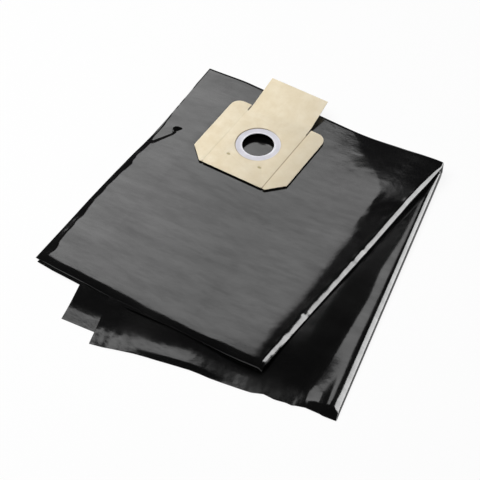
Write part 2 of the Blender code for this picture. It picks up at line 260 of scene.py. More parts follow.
@dataclass
class Shader:
    """A node material under way, with short calls for the nodes that the finishes share."""

    name: str
    tree: bpy.types.NodeTree = field(init=False)
    material: bpy.types.Material = field(init=False)
    principled: bpy.types.Node = field(init=False)

    def __post_init__(self) -> None:
        """Starts the material from Blender's plain one."""
        self.material = bpy.data.materials.new(self.name)
        self.material.use_nodes = True
        self.tree = self.material.node_tree
        self.principled = self.tree.nodes["Principled BSDF"]

    def node(self, kind: str, **values: object) -> bpy.types.Node:
        """Adds a node and sets its properties or its unlinked sockets.

        Args:
            kind: The node's type, without its ShaderNode prefix.
            **values: Properties, or sockets with underscores for spaces.

        Returns:
            The node.
        """
        made = self.tree.nodes.new("ShaderNode" + kind)
        for key, value in values.items():
            if hasattr(made, key):
                setattr(made, key, value)
            else:
                made.inputs[key.replace("_", " ")].default_value = value
        return made

    def feed(self, value: Socket | float | Triple, target: Socket) -> None:
        """Joins a socket to another one, or gives it a number or a colour.

        Args:
            value: What goes in.
            target: The socket that takes it.
        """
        if isinstance(value, Socket):
            self.tree.links.new(value, target)
        elif isinstance(value, (int, float)):
            target.default_value = value
        else:
            target.default_value = (*value, 1.0)

    def put(self, **values: Socket | float | Triple) -> None:
        """Feeds sockets of the main shader, named with underscores for spaces."""
        for name, value in values.items():
            self.feed(value, self.principled.inputs[name.replace("_", " ")])

    def object_space(self, scale: Triple = (1, 1, 1)) -> Socket:
        """Object coordinates from the centre of the inlet, scaled.

        Args:
            scale: The scale along each axis.

        Returns:
            The coordinates.
        """
        coords = self.node("TexCoord")
        mapping = self.node("Mapping", vector_type="POINT")
        mapping.inputs["Location"].default_value = [-h * s for h, s in zip(HUB, scale)]
        mapping.inputs["Scale"].default_value = scale
        self.feed(coords.outputs["Object"], mapping.inputs["Vector"])
        return mapping.outputs["Vector"]

    def plan(self) -> tuple[Socket, Socket, Socket]:
        """The distances to the right of the inlet, behind it and from its middle.

        Returns:
            The three distances.
        """
        parts = self.node("SeparateXYZ")
        self.feed(self.object_space(), parts.inputs[0])
        x, y = parts.outputs[0], parts.outputs[1]
        squares = [self.math("MULTIPLY", v, v) for v in (x, y)]
        return x, y, self.math("POWER", self.math("ADD", *squares), 0.5)

    def noise(self, grain: Grain) -> Socket:
        """A grain's value on the piece.

        Args:
            grain: The pattern.

        Returns:
            Its value, from 0 to 1.
        """
        made = self.node("TexNoise", Scale=1.0, Detail=grain.detail, Roughness=grain.rough)
        self.feed(self.object_space(grain.scale), made.inputs["Vector"])
        return made.outputs["Fac"]

    def spread(
        self, value: Socket, low: float, high: float, to_low: float, to_high: float
    ) -> Socket:
        """Maps a value from one range to another, clamped.

        Args:
            value: The value.
            low: The start of its range.
            high: The end of its range.
            to_low: What the start becomes.
            to_high: What the end becomes.

        Returns:
            The mapped value.
        """
        made = self.node(
            "MapRange", From_Min=low, From_Max=high, To_Min=to_low, To_Max=to_high
        )
        self.feed(value, made.inputs["Value"])
        return made.outputs["Result"]

    def band(self, value: Socket, middle: float, half: float, soft: float) -> Socket:
        """1 within half of a middle value, falling to 0 over soft."""
        away = self.math("ABSOLUTE", self.math("SUBTRACT", value, middle))
        return self.spread(away, half, half + soft, 1.0, 0.0)

    def math(self, operation: str, a: Socket, b: Socket | float = 0.0) -> Socket:
        """One step of arithmetic on a socket and a socket or a number.

        Args:
            operation: The name of the step.
            a: The first value.
            b: The second value.

        Returns:
            The result.
        """
        made = self.node("Math", operation=operation)
        self.feed(a, made.inputs[0])
        self.feed(b, made.inputs[1])
        return made.outputs[0]

    def times(self, first: Socket, *others: Socket | float) -> Socket:
        """The product of several values.

        Args:
            first: The first value.
            *others: The values to multiply it by.

        Returns:
            The product.
        """
        for other in others:
            first = self.math("MULTIPLY", first, other)
        return first

    def blend(self, share: Socket, a: Socket | Triple, b: Socket | Triple) -> Socket:
        """Mixes two colours.

        Args:
            share: How much of the second colour there is.
            a: The first colour.
            b: The second colour.

        Returns:
            The mixed colour.
        """
        made = self.node("Mix", data_type="RGBA")
        self.feed(share, made.inputs["Factor"])
        self.feed(a, made.inputs[6])
        self.feed(b, made.inputs[7])
        return made.outputs[2]

    def bump(
        self, height: Socket, distance: float, strength: float = 1.0, under: Socket | None = None
    ) -> Socket:
        """A bump over an optional earlier one.

        Args:
            height: The height pattern.
            distance: Its height in metres.
            strength: How strongly it counts.
            under: The earlier bump.

        Returns:
            The bent normal.
        """
        made = self.node("Bump", Strength=strength, Distance=distance)
        self.feed(height, made.inputs["Height"])
        if under is not None:
            self.feed(under, made.inputs["Normal"])
        return made.outputs["Normal"]


@dataclass(frozen=True)
class FilmFinish:
    """Thin glossy black polyethylene with soft flow marks, and a dull black painted shade for the vent's
    unlit inside.
    """

    black: Triple = (0.0020, 0.0020, 0.0021)
    dusty: Triple = (0.0045, 0.0045, 0.0044)
    refraction: float = 1.5
    haze: Grain = Grain((9.0, 9.0, 9.0), 4.0, 0.6)
    dust: Remap = (0.45, 0.75, 0.0, 1.0)
    gloss: Remap = (0.3, 0.7, 0.10, 0.17)
    streak_grain: Grain = Grain((8.0, 46.0, 20.0), 5.0, 0.62)
    streaks: Remap = (0.3, 0.7, 0.42, 0.56)
    mark_grain: Grain = Grain((24.0, 110.0, 40.0), 6.0, 0.68)
    marks: Remap = (0.46, 0.58, 1.04, 0.92)
    aside: Remap = (-0.17, 0.16, 1.27, 0.92)
    crinkle: Grain = Grain((38.0, 62.0, 40.0), 3.0, 0.55)
    crinkle_height: float = 0.00022
    skin: Grain = Grain((420.0, 420.0, 420.0), 2.0)
    skin_height: float = 0.00005
    skin_strength: float = 0.35
    # The vent's painted shade: a dull near-black material that stands in for the unlit inside of the bag.
    vent_shade_grain: Grain = Grain((300.0, 300.0, 300.0), 2.0)
    vent_shade_rough: float = 0.9
    vent_shade_sheen: float = 0.05

    def build(self) -> bpy.types.Material:
        """Makes the material.

        Returns:
            The material.
        """
        shader = Shader("black_film_finish")
        haze = shader.noise(self.haze)
        sheen = shader.times(
            shader.spread(shader.noise(self.streak_grain), *self.streaks),
            shader.spread(shader.noise(self.mark_grain), *self.marks),
            shader.spread(shader.plan()[0], *self.aside),
        )
        low = shader.bump(shader.noise(self.crinkle), self.crinkle_height)
        skin = shader.noise(self.skin)
        shader.put(
            Base_Color=shader.blend(shader.spread(haze, *self.dust), self.black, self.dusty),
            Roughness=shader.spread(haze, *self.gloss),
            IOR=self.refraction,
            Specular_IOR_Level=sheen,
            Normal=shader.bump(skin, self.skin_height, self.skin_strength, low),
        )
        return shader.material

    def inside(self) -> bpy.types.Material:
        """Makes the painted shade for the vent: a dull near-black stand-in for the unlit inside that shows
        through it.

        Returns:
            The material.
        """
        shader = Shader("painted_vent_shade")
        grain = shader.noise(self.vent_shade_grain)
        shader.put(
            Base_Color=shader.blend(grain, (0.0, 0.0, 0.0), self.black),
            Roughness=self.vent_shade_rough,
            Specular_IOR_Level=self.vent_shade_sheen,
        )
        return shader.material


@dataclass(frozen=True)
class CardFinish:
    """Uncoated beige card: fibres, faint mottling and two punched marks, with painted shade along the
    score lines and towards its right, and painted shadow at the hole's rim and in the tab's slits.
    """

    beige: Triple = (0.760, 0.655, 0.465)
    light: Triple = (0.835, 0.745, 0.570)
    dark: Triple = (0.560, 0.455, 0.285)
    # Colour of the painted shade along the score lines and of the painted shadow at the hole's rim.
    line: Triple = (0.300, 0.215, 0.120)
    # Painted shade colour: the card is darkened towards its right, less so on the tab.
    painted_shade: Triple = (0.520, 0.450, 0.325)
    olive: Triple = (0.330, 0.270, 0.110)
    # Painted shadow in the tab's slits.
    shadow: Triple = (0.050, 0.035, 0.020)
    rough: float = 0.82
    mottle: Grain = Grain((45.0, 45.0, 45.0), 5.0, 0.6)
    mottling: Remap = (0.38, 0.7, 0.0, 1.0)
    mottle_height: float = 0.0002
    fibre: Grain = Grain((220.0, 900.0, 300.0), 3.0, 0.65)
    flecks: Remap = (0.62, 0.78, 0.0, 0.5)
    grain: Grain = Grain((900.0, 900.0, 900.0), 3.0, 0.6)
    grain_height: float = 0.00006
    painted_shade_aside: Remap = (-0.055, 0.080, 0.0, 0.50)
    painted_shade_behind: Remap = (0.070, 0.085, 1.0, 0.35)
    crease_at: float = 0.0595
    crease_width: Pair = (0.0003, 0.0008)
    # The score lines' painted shade is full on the right one and faint on the left one.
    crease_shade_aside: Remap = (-0.01, 0.01, 0.10, 1.0)
    crease_behind: Remap = (0.060, 0.064, 0.85, 0.0)
    slit_width: Pair = (0.0006, 0.0006)
    slit_front: Remap = (0.061, 0.064, 0.0, 0.9)
    slit_back: Remap = (0.0765, 0.0775, 1.0, 0.0)
    hole_radius: float = 0.039
    # Painted shadow at the rim of the hole, strongest towards the left.
    rim_shadow_width: Pair = (0.0009, 0.0006)
    rim_shadow_aside: Remap = (-0.022, 0.022, 0.8, 0.12)
    punch_at: Pair = (0.031, -0.046)
    punch_scale: Pair = (240.0, 380.0)
    punch_fade: Remap = (0.4, 1.2, 0.75, 0.0)

    def lines(self, shader: Shader, toned: Socket, x: Socket, y: Socket, radius: Socket) -> Socket:
        """Draws painted shade along the score lines, painted shadow at the rim of the hole and in the
        tab's slits, and the punched marks.

        Args:
            shader: The material under way.
            toned: The card's colour.
            x: The distance to the right of the inlet.
            y: The distance behind the inlet.
            radius: The distance from the inlet's middle.

        Returns:
            The colour with the marks on it.
        """
        aside = shader.math("ABSOLUTE", x)
        # Painted shade along the score lines, full on the right one and faint on the left one.
        crease = shader.times(
            shader.band(aside, self.crease_at, *self.crease_width),
            shader.spread(x, *self.crease_shade_aside),
            shader.spread(y, *self.crease_behind),
        )
        # Painted shadow of the card's edge at the rim of the hole, strongest towards the left.
        rim = shader.times(
            shader.band(radius, self.hole_radius, *self.rim_shadow_width),
            shader.spread(x, *self.rim_shadow_aside),
        )
        # Painted shadow in the tab's slits.
        slit = shader.times(
            shader.band(aside, self.crease_at, *self.slit_width),
            shader.spread(y, *self.slit_front),
            shader.spread(y, *self.slit_back),
        )
        toned = shader.blend(shader.math("MAXIMUM", crease, rim), toned, self.line)
        toned = shader.blend(slit, toned, self.shadow)
        squares = []
        for value, middle, scale in zip((aside, y), self.punch_at, self.punch_scale):
            away = shader.times(shader.math("SUBTRACT", value, middle), scale)
            squares.append(shader.times(away, away))
        punch = shader.spread(shader.math("ADD", *squares), *self.punch_fade)
        return shader.blend(punch, toned, self.olive)

    def build(self) -> bpy.types.Material:
        """Makes the material.

        Returns:
            The material.
        """
        shader = Shader("kraft_card_finish")
        mottle = shader.noise(self.mottle)
        toned = shader.blend(shader.spread(mottle, *self.mottling), self.beige, self.light)
        flecks = shader.spread(shader.noise(self.fibre), *self.flecks)
        toned = shader.blend(flecks, toned, self.dark)
        x, y, radius = shader.plan()
        # Painted shade, darker towards the card's right side and weaker on the tab behind it.
        painted_shade = shader.times(
            shader.spread(x, *self.painted_shade_aside), shader.spread(y, *self.painted_shade_behind)
        )
        toned = shader.blend(painted_shade, toned, self.painted_shade)
        low = shader.bump(mottle, self.mottle_height, 0.5)
        shader.put(
            Base_Color=self.lines(shader, toned, x, y, radius),
            Roughness=self.rough,
            Normal=shader.bump(shader.noise(self.grain), self.grain_height, 0.6, low),
        )
        return shader.material


@dataclass(frozen=True)
class SealFinish:
    """Pale satin elastomer with faint turned rings."""

    pale: Triple = (0.665, 0.655, 0.710)
    shade: Triple = (0.560, 0.555, 0.615)
    lip: Triple = (0.800, 0.795, 0.840)
    rough: float = 0.42
    cloud: Grain = Grain((60.0, 60.0, 60.0))
    clouding: Remap = (0.4, 0.75, 0.0, 1.0)
    cloud_height: float = 0.0002
    lip_edge: Remap = (0.0290, 0.0315, 1.0, 0.0)
    turned_at: float = 0.0355
    turned_width: Pair = (0.0003, 0.0005)
    ring_scale: float = 220.0
    ring_height: float = 0.00006

    def build(self) -> bpy.types.Material:
        """Makes the material.

        Returns:
            The material.
        """
        shader = Shader("pale_elastomer_finish")
        cloud = shader.noise(self.cloud)
        toned = shader.blend(shader.spread(cloud, *self.clouding), self.pale, self.shade)
        radius = shader.plan()[2]
        toned = shader.blend(shader.spread(radius, *self.lip_edge), toned, self.lip)
        turned = shader.times(shader.band(radius, self.turned_at, *self.turned_width), 0.5)
        rings = shader.node(
            "TexWave", wave_type="RINGS", rings_direction="Z", Scale=self.ring_scale
        )
        shader.feed(shader.object_space(), rings.inputs["Vector"])
        low = shader.bump(rings.outputs["Fac"], self.ring_height, 0.5)
        shader.put(
            Base_Color=shader.blend(turned, toned, self.shade),
            Roughness=self.rough,
            Normal=shader.bump(cloud, self.cloud_height, 0.4, low),
        )
        return shader.material


@dataclass(frozen=True)
class FilmSizes:
    """The folds of the film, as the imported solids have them, in metres from the inlet."""

    subleaf_edge: float = 0.0010
    subleaf_middle: float = 0.0022
    top_belly: float = 0.0022
    weld_thickness: float = 0.0006
    weld_depth: float = 0.010
    ply_gap: float = 0.0006
    leaf_gap: float = 0.0010
    edge_swell: float = 0.120
    top_left: float = 0.180
    top_back_width: float = 0.476
    top_front_width: float = 0.440
    top_front: float = 0.400
    top_tip_step: float = 0.007
    fold_left_y: float = 0.126
    fold_right_y: float = 0.111
    fold_tip_step: float = 0.030
    front_curl: float = 0.013
    lower_swing: float = math.radians(11.4)
    lower_length: float = 0.545
    lower_front_width: float = 0.476
    lower_tip_step: float = 0.062
    lower_tip_recess: float = 0.030
    roll_back: float = 0.0150
    seat_height: float = 0.0170
    seat_margin: float = 0.012
    seat_blend: float = 0.090
    card_half_width: float = 0.0925
    card_front: float = 0.085
    vent: Pair = (-0.1447, -0.0367)
    vent_size: float = 0.0175


@dataclass(frozen=True)
class Roll:
    """How a section bends round the soft roll at the bag's right side.

    The two halves begin to bend at over and under from the roll's side. The side point has
    the share side of the height, and the flanks run from round, at a power of 1, to straight,
    at 2.
    """

    over: float
    under: float
    side: float
    power: float


@dataclass(frozen=True)
class Section:
    """One section across the folded tube, from its upper tip round the roll to its lower one.

    The layers are the two halves' thicknesses and the gap between them at a distance from
    the roll, and place puts a point of the section in the part's plan.
    """

    layers: Callable[[float], Triple]
    place: Placer
    tips: Pair
    roll: Roll
    columns: tuple[int, int]
    hidden_columns: tuple[int, int] = (22, 22)
    arc_steps: int = 10

    def height(self, s: float, over: bool, fine: bool) -> float:
        """How high one skin of one half lies at a distance from the roll.

        Args:
            s: How far the place is from the soft roll.
            over: Whether the point is on the upper half.
            fine: True for the outer skin.

        Returns:
            The height.
        """
        if fine and not over:
            return 0.0
        upper, lower, gap = self.layers(s)
        if not over:
            return lower
        return lower + gap + (upper if fine else 0.0)

    def skin(self, fine: bool) -> list[list[SectionPoint]]:
        """One skin, without the two tips that both skins share.

        Args:
            fine: True for the outer skin and False for the one inside the fold.

        Returns:
            The upper half's points, those of the soft roll, and the lower half's points.
        """
        upper, lower, gap = self.layers(0.0)
        roll = self.roll
        middle = (upper + lower + gap) * roll.side if fine else lower + gap * roll.side
        start = 0.0 if fine else min(upper, lower)
        counts = self.columns if fine else self.hidden_columns
        halves = []
        for over, tip, reach, count in zip(
            (True, False), self.tips, (roll.over, roll.under), counts
        ):
            stops = [tip - step for step in TIP_STEPS[:-1]]
            stops += even(tip - TIP_STEPS[-1], start + reach, count)
            halves.append([(s, self.height(s, over, fine), over) for s in stops])
        bend = []
        turns = even(0.0, math.pi / 2, self.arc_steps)[1:]
        for turn in turns:
            s = start + roll.over * (1.0 - math.sin(turn) ** roll.power)
            rest = math.cos(turn) ** roll.power if turn < turns[-1] else 0.0
            bend.append((s, mix(middle, self.height(s, True, fine), rest), True))
        for turn in turns[:-1]:
            s = start + roll.under * (1.0 - math.cos(turn) ** roll.power)
            rest = math.sin(turn) ** roll.power
            bend.append((s, mix(middle, self.height(s, False, fine), rest), False))
        return [halves[0], bend, halves[1][::-1]]


@dataclass
class LowerLeaf:
    """The lower leaf, which is swung out under the top one and lies upside down.

    A place on it is told by s, how far it is from the soft roll, and v, how far from the
    crosswise fold.
    """

    sizes: FilmSizes
    columns: tuple[int, int] = (36, 150)
    tuck_table: Table = ((0.000, 0.0080), (0.545, 0.0040))
    arch_table: Table = ((0.000, 0.0030), (0.050, 0.0078), (0.250, 0.0095), (0.545, 0.0135))
    side_table: Table = ((0.000, 0.58), (0.150, 0.66), (0.545, 0.85))
    roll_power: float = 1.15
    crest_front: float = 0.0118
    crest_past_arch: float = 0.0035
    flat_to_full: Pair = (0.518, 0.403)
    wedge_table: Table = (
        (0.10, 0.014), (0.16, 0.017), (0.24, 0.030), (0.30, 0.029), (0.37, 0.037),
        (0.45, 0.046), (0.54, 0.064),
    )
    wedge_slope: float = 0.105
    wedge_corner: float = 0.12
    cover_slope: float = 0.275
    cover_start: float = 0.020
    cover_run: float = 0.10
    end_past: float = 0.002
    end_run: float = 0.018
    end_corner: float = 0.15
    billow_height: float = 0.0042
    billow_start: float = 0.435
    billow_run: Pair = (0.080, 0.104)
    billow_bulge: Pair = (0.140, 0.09)
    billow_back: Pair = (0.20, 0.35)
    billow_sides: Pair = (0.05, 0.060)
    gathers: tuple[Wave, Wave] = (
        Wave(0.0010, 0.017, 0.060, 5.2), Wave(0.0006, 0.007, 0.030, 9.4)
    )
    gather_depth: Pair = (0.048, 0.023)
    gather_table: Table = (
        (0.000, 0.10), (0.018, 0.9), (0.058, 0.9), (0.080, 0.08), (0.235, 0.08),
        (0.300, 0.20), (0.350, 0.30), (0.375, 0.75), (0.440, 0.75),
    )
    hump_height: float = 0.0026
    hump_place: Pair = (0.264, 0.092)
    hump_rise: Pair = (0.40, 0.46)
    hump_fall: Pair = (0.534, 0.545)
    tip_lift: float = 0.0055
    tip_fall: Pair = (0.438, 0.516)
    tip_from: Pair = (0.37, 0.41)
    recess_table: Table = (
        (0.003, -0.0016), (0.022, -0.0005), (0.046, 0.0064), (0.065, 0.0050),
        (0.073, 0.0017), (0.092, 0.0048), (0.101, 0.0030), (0.123, 0.0077), (0.143, 0.0030),
        (0.208, 0.0062), (0.243, 0.0110), (0.311, 0.0104), (0.345, 0.0117),
        (0.385, 0.0051), (0.413, 0.0039),
    )
    inner_recess: float = 0.0025

    def tips(self, v: float) -> Pair:
        """How far its two halves reach from the roll.

        Args:
            v: How far the place is from the crosswise fold.

        Returns:
            The distances of the two tips.
        """
        z = self.sizes
        share = clip(v / z.lower_length)
        wide = mix(z.top_back_width, z.lower_front_width, share)
        return wide, wide - mix(z.fold_tip_step, z.lower_tip_step, share)

    def axes(self) -> tuple[Vector, Vector, Vector]:
        """Its pivot, and its sideways and backward directions in plan.

        Returns:
            The pivot and the two directions.
        """
        z = self.sizes
        turn = z.lower_swing
        pivot = Vector((z.top_back_width - z.top_left, z.fold_right_y))
        across = Vector((math.cos(turn), math.sin(turn)))
        return pivot, across, Vector((-math.sin(turn), math.cos(turn)))

    def find(self, x: float, y: float) -> Pair:
        """The s and v of a place in plan.

        Args:
            x: How far the place is to the right of the inlet.
            y: How far the place is behind the inlet.

        Returns:
            The place's s and v.
        """
        pivot, across, back = self.axes()
        offset = Vector((x, y)) - pivot
        return -offset.dot(across), -offset.dot(back)

    def layers(self, s: float, v: float) -> Triple:
        """Thickness of its two halves, and the gap between them.

        Args:
            s: How far the place is from the soft roll.
            v: How far the place is from the crosswise fold.

        Returns:
            The upper half, the lower half and the gap.
        """
        z = self.sizes
        full = rise(v, self.flat_to_full)
        wide, narrow = self.tips(v)
        halves = []
        for tip in (wide, narrow):
            swell = smooth((tip - s) / z.edge_swell)
            thick = mix(z.subleaf_edge, z.subleaf_middle, swell)
            halves.append(mix(z.weld_thickness, thick, full))
        crest = mix(z.roll_back, self.crest_front, clip(v / z.lower_length))
        foot = along_table(self.arch_table, v) + self.crest_past_arch
        wedge = along_table(self.wedge_table, v)
        down = ramp((s - foot) / (wedge - foot), self.wedge_corner)
        drop = self.wedge_slope * max(wedge - foot, 0.0) * down
        level = max(crest - drop - sum(halves) - z.ply_gap, 0.0)
        covered = 1.0 - smooth((s - self.cover_slope * v - self.cover_start) / self.cover_run)
        end = ramp((z.lower_length + self.end_past - v) / self.end_run, self.end_corner)
        spread = level * covered * mix(full, 1.0, 1.0 - down) * end
        run = mix(*self.billow_run, hump(s, *self.billow_bulge))
        billow = (1.0 - smooth((v - self.billow_start) / run)) * rise(v, self.billow_back)
        right, left = self.billow_sides
        billow *= smooth((s - wedge) / right) * smooth((narrow - s) / left)
        return halves[0], halves[1], z.ply_gap + spread + self.billow_height * billow

    def gather(self, s: float, v: float) -> float:
        """Gathers along its front weld.

        Args:
            s: How far the place is from the soft roll.
            v: How far the place is from the crosswise fold.

        Returns:
            How far the film is lifted.
        """
        start, stop = (self.sizes.lower_length - depth for depth in self.gather_depth)
        waves = sum(wave.at(s, v) for wave in self.gathers)
        return rise(v, (start, stop)) * waves * along_table(self.gather_table, s)

    def lift(self, s: float, v: float) -> float:
        """How far its front stands off the floor, highest left of its middle.

        Args:
            s: How far the place is from the soft roll.
            v: How far the place is from the crosswise fold.

        Returns:
            How far the film is lifted.
        """
        middle = self.hump_height * hump(s, *self.hump_place) * rise(v, self.hump_rise)
        middle *= 1.0 - rise(v, self.hump_fall)
        return middle + self.tip_lift * (1.0 - rise(v, self.tip_fall)) * rise(s, self.tip_from)

    def section(self, v: float) -> Section:
        """Its section at a distance from the fold.

        Args:
            v: How far the place is from the crosswise fold.

        Returns:
            The section.
        """
        z = self.sizes
        wide, narrow = self.tips(v)
        pivot, across, back = self.axes()
        along = clip(v / z.lower_length)

        def place(s: float, h: float, over: bool) -> Vector:
            """Puts a point of the section in the part's plan.

            Args:
                s: How far the place is from the soft roll.
                h: The point's height in the section.
                over: Whether the point is on the upper half.

            Returns:
                The point, from the inlet.
            """
            recess = along_table(self.recess_table, s)
            if over:
                recess = max(recess, 0.0) + z.lower_tip_recess * (s / wide) ** 2
                recess += self.inner_recess
            spot = pivot - across * s - back * (v - recess * along**3)
            full = sum(self.layers(s, v))
            upper = 1.0 - min(h / max(full, 0.0001), 1.0)
            lift = self.gather(s, v) * upper + self.lift(s, v)
            return Vector((spot.x, spot.y, max(full - h + lift, 0.0)))

        roll = Roll(
            along_table(self.tuck_table, v), along_table(self.arch_table, v),
            along_table(self.side_table, v), self.roll_power,
        )
        return Section(lambda s: self.layers(s, v), place, (wide, narrow), roll, self.columns)


@dataclass
class TopLeaf:
    """The top leaf, which lies over the lower one and carries the collar.

    A place on it is told by x to the right of the inlet and y behind it.
    """

    sizes: FilmSizes
    lower: LowerLeaf
    columns: tuple[int, int] = (210, 28)
    arch_table: Table = (
        (-0.400, 0.0062), (-0.330, 0.0092), (-0.290, 0.0096), (-0.200, 0.0074),
        (-0.100, 0.0064), (0.060, 0.0058), (0.095, 0.0040), (0.111, 0.0014),
    )
    side_table: Table = (
        (-0.400, 0.40), (-0.330, 0.28), (-0.290, 0.28), (-0.200, 0.48), (-0.100, 0.60),
        (0.060, 0.68), (0.095, 0.80), (0.111, 0.90),
    )
    undercut: float = 0.014
    roll_power: float = 1.5
    fold_tuck: float = 0.003
    fold_squash: float = 0.65
    fold_reach: Pair = (0.0094, 0.0040)
    askew_over: Pair = (0.020, 0.111)
    seat_rim: float = 0.003
    edge_corner: float = 0.12
    crest_table: Table = (
        (-0.400, 0.0203), (-0.330, 0.0232), (-0.290, 0.0243), (-0.250, 0.0246),
        (-0.100, 0.0274), (-0.020, 0.0290), (0.030, 0.0300), (0.111, 0.0310),
    )
    level_table: Table = (
        (-0.400, 0.016), (-0.335, 0.025), (-0.240, 0.026), (-0.120, 0.036), (-0.081, 0.038),
        (-0.020, 0.052), (0.020, 0.049), (0.060, 0.046), (0.111, 0.036),
    )
    rise_table: Table = (
        (-0.400, 0.120), (-0.100, 0.146), (-0.020, 0.150), (0.020, 0.154), (0.060, 0.156),
        (0.111, 0.165),
    )
    crest_fall: float = 0.030
    crest_fall_inset: float = 0.003
    crest_fall_over: Pair = (0.02, -0.02)
    corner_table: Table = (
        (0.090, 0.130), (0.106, 0.113), (0.134, 0.102), (0.175, 0.065), (0.211, 0.036),
        (0.235, 0.005), (0.300, 0.000),
    )
    corner_waves: tuple[Wave, Wave] = (
        Wave(0.007, 0.040, 0.040, 8.8), Wave(0.003, 0.012, 0.012, 2.8)
    )
    corner_fall: float = 0.034
    corner_run: float = 0.110
    left_table: Table = (
        (-0.400, 0.032), (-0.370, 0.021), (-0.295, 0.013), (-0.226, 0.011), (-0.168, 0.012),
        (-0.154, 0.018), (-0.145, 0.019), (-0.139, 0.011), (-0.100, 0.010), (-0.082, 0.010),
        (-0.066, 0.007), (-0.025, 0.0050), (-0.008, 0.0025), (0.111, 0.0012),
    )
    left_wave: Wave = Wave(0.4, 0.022, 1.0, 6.6)
    front_wave: Wave = Wave(0.25, 0.050, 1.0, 3.3)
    left_fall: float = 0.046
    left_fall_from: float = -0.100
    left_fall_over: Pair = (-0.33, -0.25)
    left_rim: float = 0.0008
    left_rim_over: Pair = (-0.10, -0.16)
    left_bow_table: Table = (
        (-0.240, 0.0), (-0.180, 0.0010), (-0.136, 0.0022), (-0.114, 0.0031), (-0.092, 0.0044),
        (-0.065, 0.0054), (-0.026, 0.0047), (0.018, 0.0036), (0.045, 0.0026), (0.075, 0.0008),
        (0.100, 0.0),
    )
    left_bow_over: Pair = (-0.10, -0.18)
    front_bow_table: Table = (
        (-0.180, 0.0), (-0.138, 0.0040), (-0.075, 0.0062), (-0.034, 0.0082), (0.091, 0.0086),
        (0.153, 0.0096), (0.194, 0.0115), (0.220, 0.0120), (0.257, 0.0095), (0.280, 0.0060),
        (0.298, 0.0020),
    )
    front_bow_over: Pair = (-0.24, -0.40)
    front_slip: float = 0.0045
    front_slip_over: Pair = (0.12, 0.0)
    crease_from: Pair = (-0.1472, -0.0474)
    crease_to: Pair = (-0.1687, -0.0770)
    crease_depth: float = 0.0018
    crease_half: Pair = (0.00416, 0.00728)
    crease_back: float = 0.020
    crease_ends: Pair = (0.006, 0.010)
    long_waves: tuple[Wave, ...] = (
        Wave(0.00034, 0.17, 0.045, 3.1), Wave(0.00013, 0.07, 0.022, 7.7),
        Wave(0.00006, 0.090, 0.013, 1.9),
    )
    fine_wave: Wave = Wave(0.00013, 0.030, 0.024, 1.3)
    fine_inner: Pair = (0.19, 0.11)
    fine_outer: Pair = (0.016, 0.046)
    fine_back: Pair = (-0.06, 0.04)
    fine_least: float = 0.15
    crest_wave: Wave = Wave(0.0004, 0.020, 0.018, 5.9)
    crest_wave_over: Pair = (0.012, 0.006)
    kink_table: Table = ((-0.119, 0.0009), (-0.149, 0.0011), (-0.284, 0.0010))
    kink_half: float = 0.006
    calm_seat: float = 0.15
    calm_corner: float = 0.45
    calm_aside: Pair = (0.09, 0.15)
    calm_behind: Pair = (-0.05, 0.01)

    def fold_line_y(self, x: float) -> float:
        """Where the crosswise fold turns, which runs a little askew.

        Args:
            x: How far the place is to the right of the inlet.

        Returns:
            How far behind the inlet the fold turns.
        """
        z = self.sizes
        right = z.top_back_width - z.top_left
        share = (right - x) / z.top_back_width
        middle = mix(z.fold_right_y, z.fold_left_y, share)
        return middle - self.fold_tuck + (1.0 - self.fold_squash) * mix(*self.fold_reach, share)

    def right_x(self, y: float) -> float:
        """Its right side, along the soft roll.

        Args:
            y: How far the place is behind the inlet.

        Returns:
            How far to the right of the inlet the side is.
        """
        z = self.sizes
        share = (y + z.top_front) / (z.fold_right_y + z.top_front)
        return mix(z.top_front_width, z.top_back_width, share) - z.top_left

    def rest_height(self, x: float, y: float) -> float:
        """Its underside: over the lower leaf, and down beside it.

        Args:
            x: How far the place is to the right of the inlet.
            y: How far the place is behind the inlet.

        Returns:
            The height.
        """
        z = self.sizes
        s, v = self.lower.find(x, y)
        wide = self.lower.tips(v)[0]
        beside = smooth((s - wide) / z.edge_swell)
        under = sum(self.lower.layers(min(max(s, 0.0), wide), max(v, 0.0)))
        return z.leaf_gap + under * (1.0 - beside)

    def seat_blend(self, x: float, y: float) -> float:
        """1 over the flat seat of the collar, fading out around it.

        Args:
            x: How far the place is to the right of the inlet.
            y: How far the place is behind the inlet.

        Returns:
            The share.
        """
        z = self.sizes
        aside = max(abs(x) - z.card_half_width - self.seat_rim, 0.0) / z.seat_blend
        ahead = max(-y - z.card_front - self.seat_rim, 0.0) / (z.seat_blend + z.seat_margin)
        return 1.0 - ramp(math.hypot(aside, ahead))

    def edge_round(self, x: float, y: float) -> float:
        """Rounds it down to its left and front edges: 0 there and 1 inside.

        Args:
            x: How far the place is to the right of the inlet.
            y: How far the place is behind the inlet.

        Returns:
            The share.
        """
        z = self.sizes
        left = along_table(self.left_table, y) * (1.0 + self.left_wave.at(y, 0.0))
        front = z.front_curl * (1.0 + self.front_wave.at(x, 0.0))
        return ramp((x + z.top_left) / left, self.edge_corner) * arch((y + z.top_front) / front)

    def vent_crease(self, x: float, y: float) -> float:
        """How deep the sharp crease from the vent to the left edge is at a place.

        Args:
            x: How far the place is to the right of the inlet.
            y: How far the place is behind the inlet.

        Returns:
            The depth.
        """
        start = Vector(self.crease_from)
        run = Vector(self.crease_to) - start
        spot = Vector((x, y)) - start
        along = spot.dot(run) / run.length
        away = (spot.y * run.x - spot.x * run.y) / run.length
        half = mix(*self.crease_half, clip(along / run.length))
        side = 1.0 - away / half if away > 0.0 else 1.0 + away / self.crease_back
        before, past = self.crease_ends
        fade = smooth(1.0 + min(along, 0.0) / before)
        fade *= smooth(1.0 - max(along - run.length, 0.0) / past)
        return self.crease_depth * max(side, 0.0) * fade

